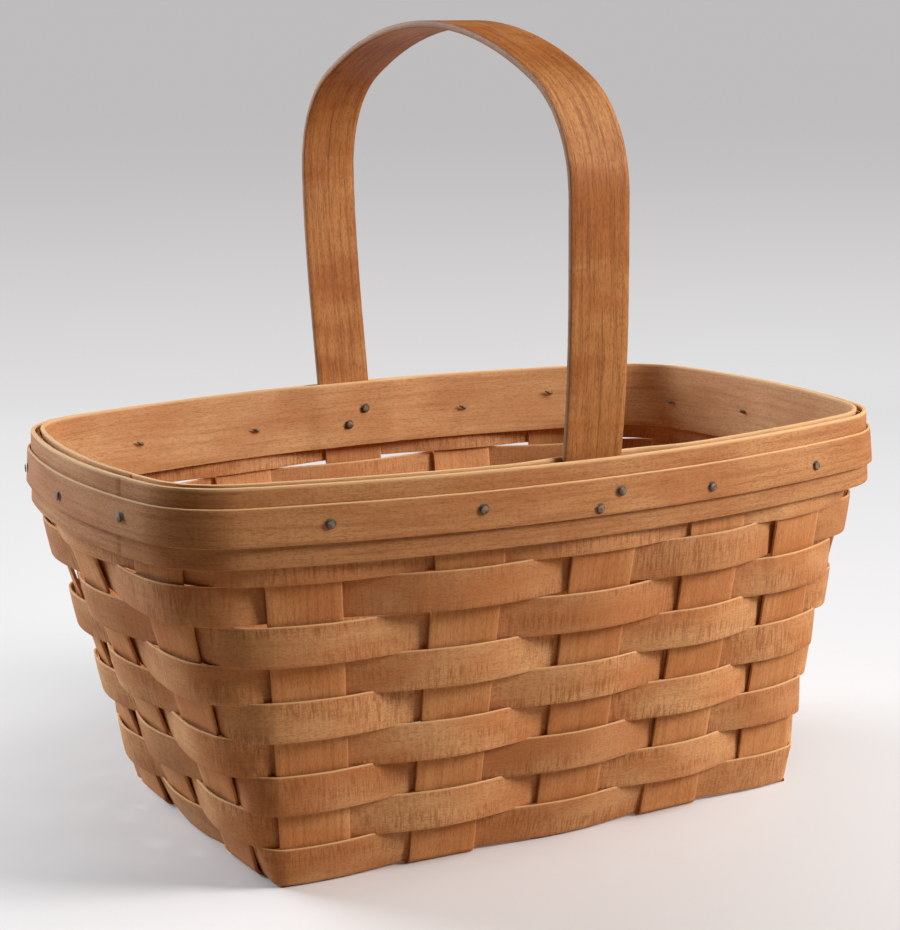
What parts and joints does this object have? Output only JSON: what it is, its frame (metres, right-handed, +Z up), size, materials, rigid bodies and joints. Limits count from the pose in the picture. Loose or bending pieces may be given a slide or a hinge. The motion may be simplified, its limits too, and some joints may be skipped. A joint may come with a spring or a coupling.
{
  "type": "splint basket",
  "caption": "Rectangular wood-splint basket, plain-woven rows on flared uprights, nailed rim bands and a fixed bent handle.",
  "frame": {"origin": "middle of the basket's overall box, on the floor that it stands on", "axes": "+X along the long side to the right, +Y across the width to the back, +Z up; the handle spans front to back over the middle"},
  "size_m": [0.3055, 0.2053, 0.2851],
  "materials": {
    "upright_splint": "bare planed splint, long grain, dark honey",
    "weaver_splint": "bare sliced splint, fine grain with crosswise knife marks, honey tan",
    "rim_band": "bare sliced band, fine grain, honey tan",
    "bent_handle": "planed and steam-bent strip, long open grain, orange brown",
    "tack_steel": "dull grey tack steel"
  },
  "bodies": {
    "root": {"crosswise_upright_1": "upright_splint", "crosswise_upright_2": "upright_splint", "crosswise_upright_3": "upright_splint", "crosswise_upright_4": "upright_splint", "crosswise_upright_5": "upright_splint", "lengthwise_upright_1": "upright_splint", "lengthwise_upright_2": "upright_splint", "lengthwise_upright_3": "upright_splint", "weaver_row_1": "weaver_splint", "weaver_row_2": "weaver_splint", "weaver_row_3": "weaver_splint", "weaver_row_4": "weaver_splint", "weaver_row_5": "weaver_splint", "weaver_row_6": "weaver_splint", "weaver_row_7": "weaver_splint", "weaver_row_8": "weaver_splint", "weaver_row_9": "weaver_splint", "inner_band": "rim_band", "outer_band": "rim_band", "trim_band": "rim_band", "handle": "bent_handle", "tack_front_1": "tack_steel", "tack_front_2": "tack_steel", "tack_front_3": "tack_steel", "tack_front_4": "tack_steel", "tack_front_5": "tack_steel", "tack_front_6": "tack_steel", "tack_back_1": "tack_steel", "tack_back_2": "tack_steel", "tack_back_3": "tack_steel", "tack_back_4": "tack_steel", "tack_back_5": "tack_steel", "tack_back_6": "tack_steel", "tack_left_1": "tack_steel", "tack_left_2": "tack_steel", "tack_left_3": "tack_steel", "tack_right_1": "tack_steel", "tack_right_2": "tack_steel", "tack_right_3": "tack_steel"}
  },
  "joints": []
}
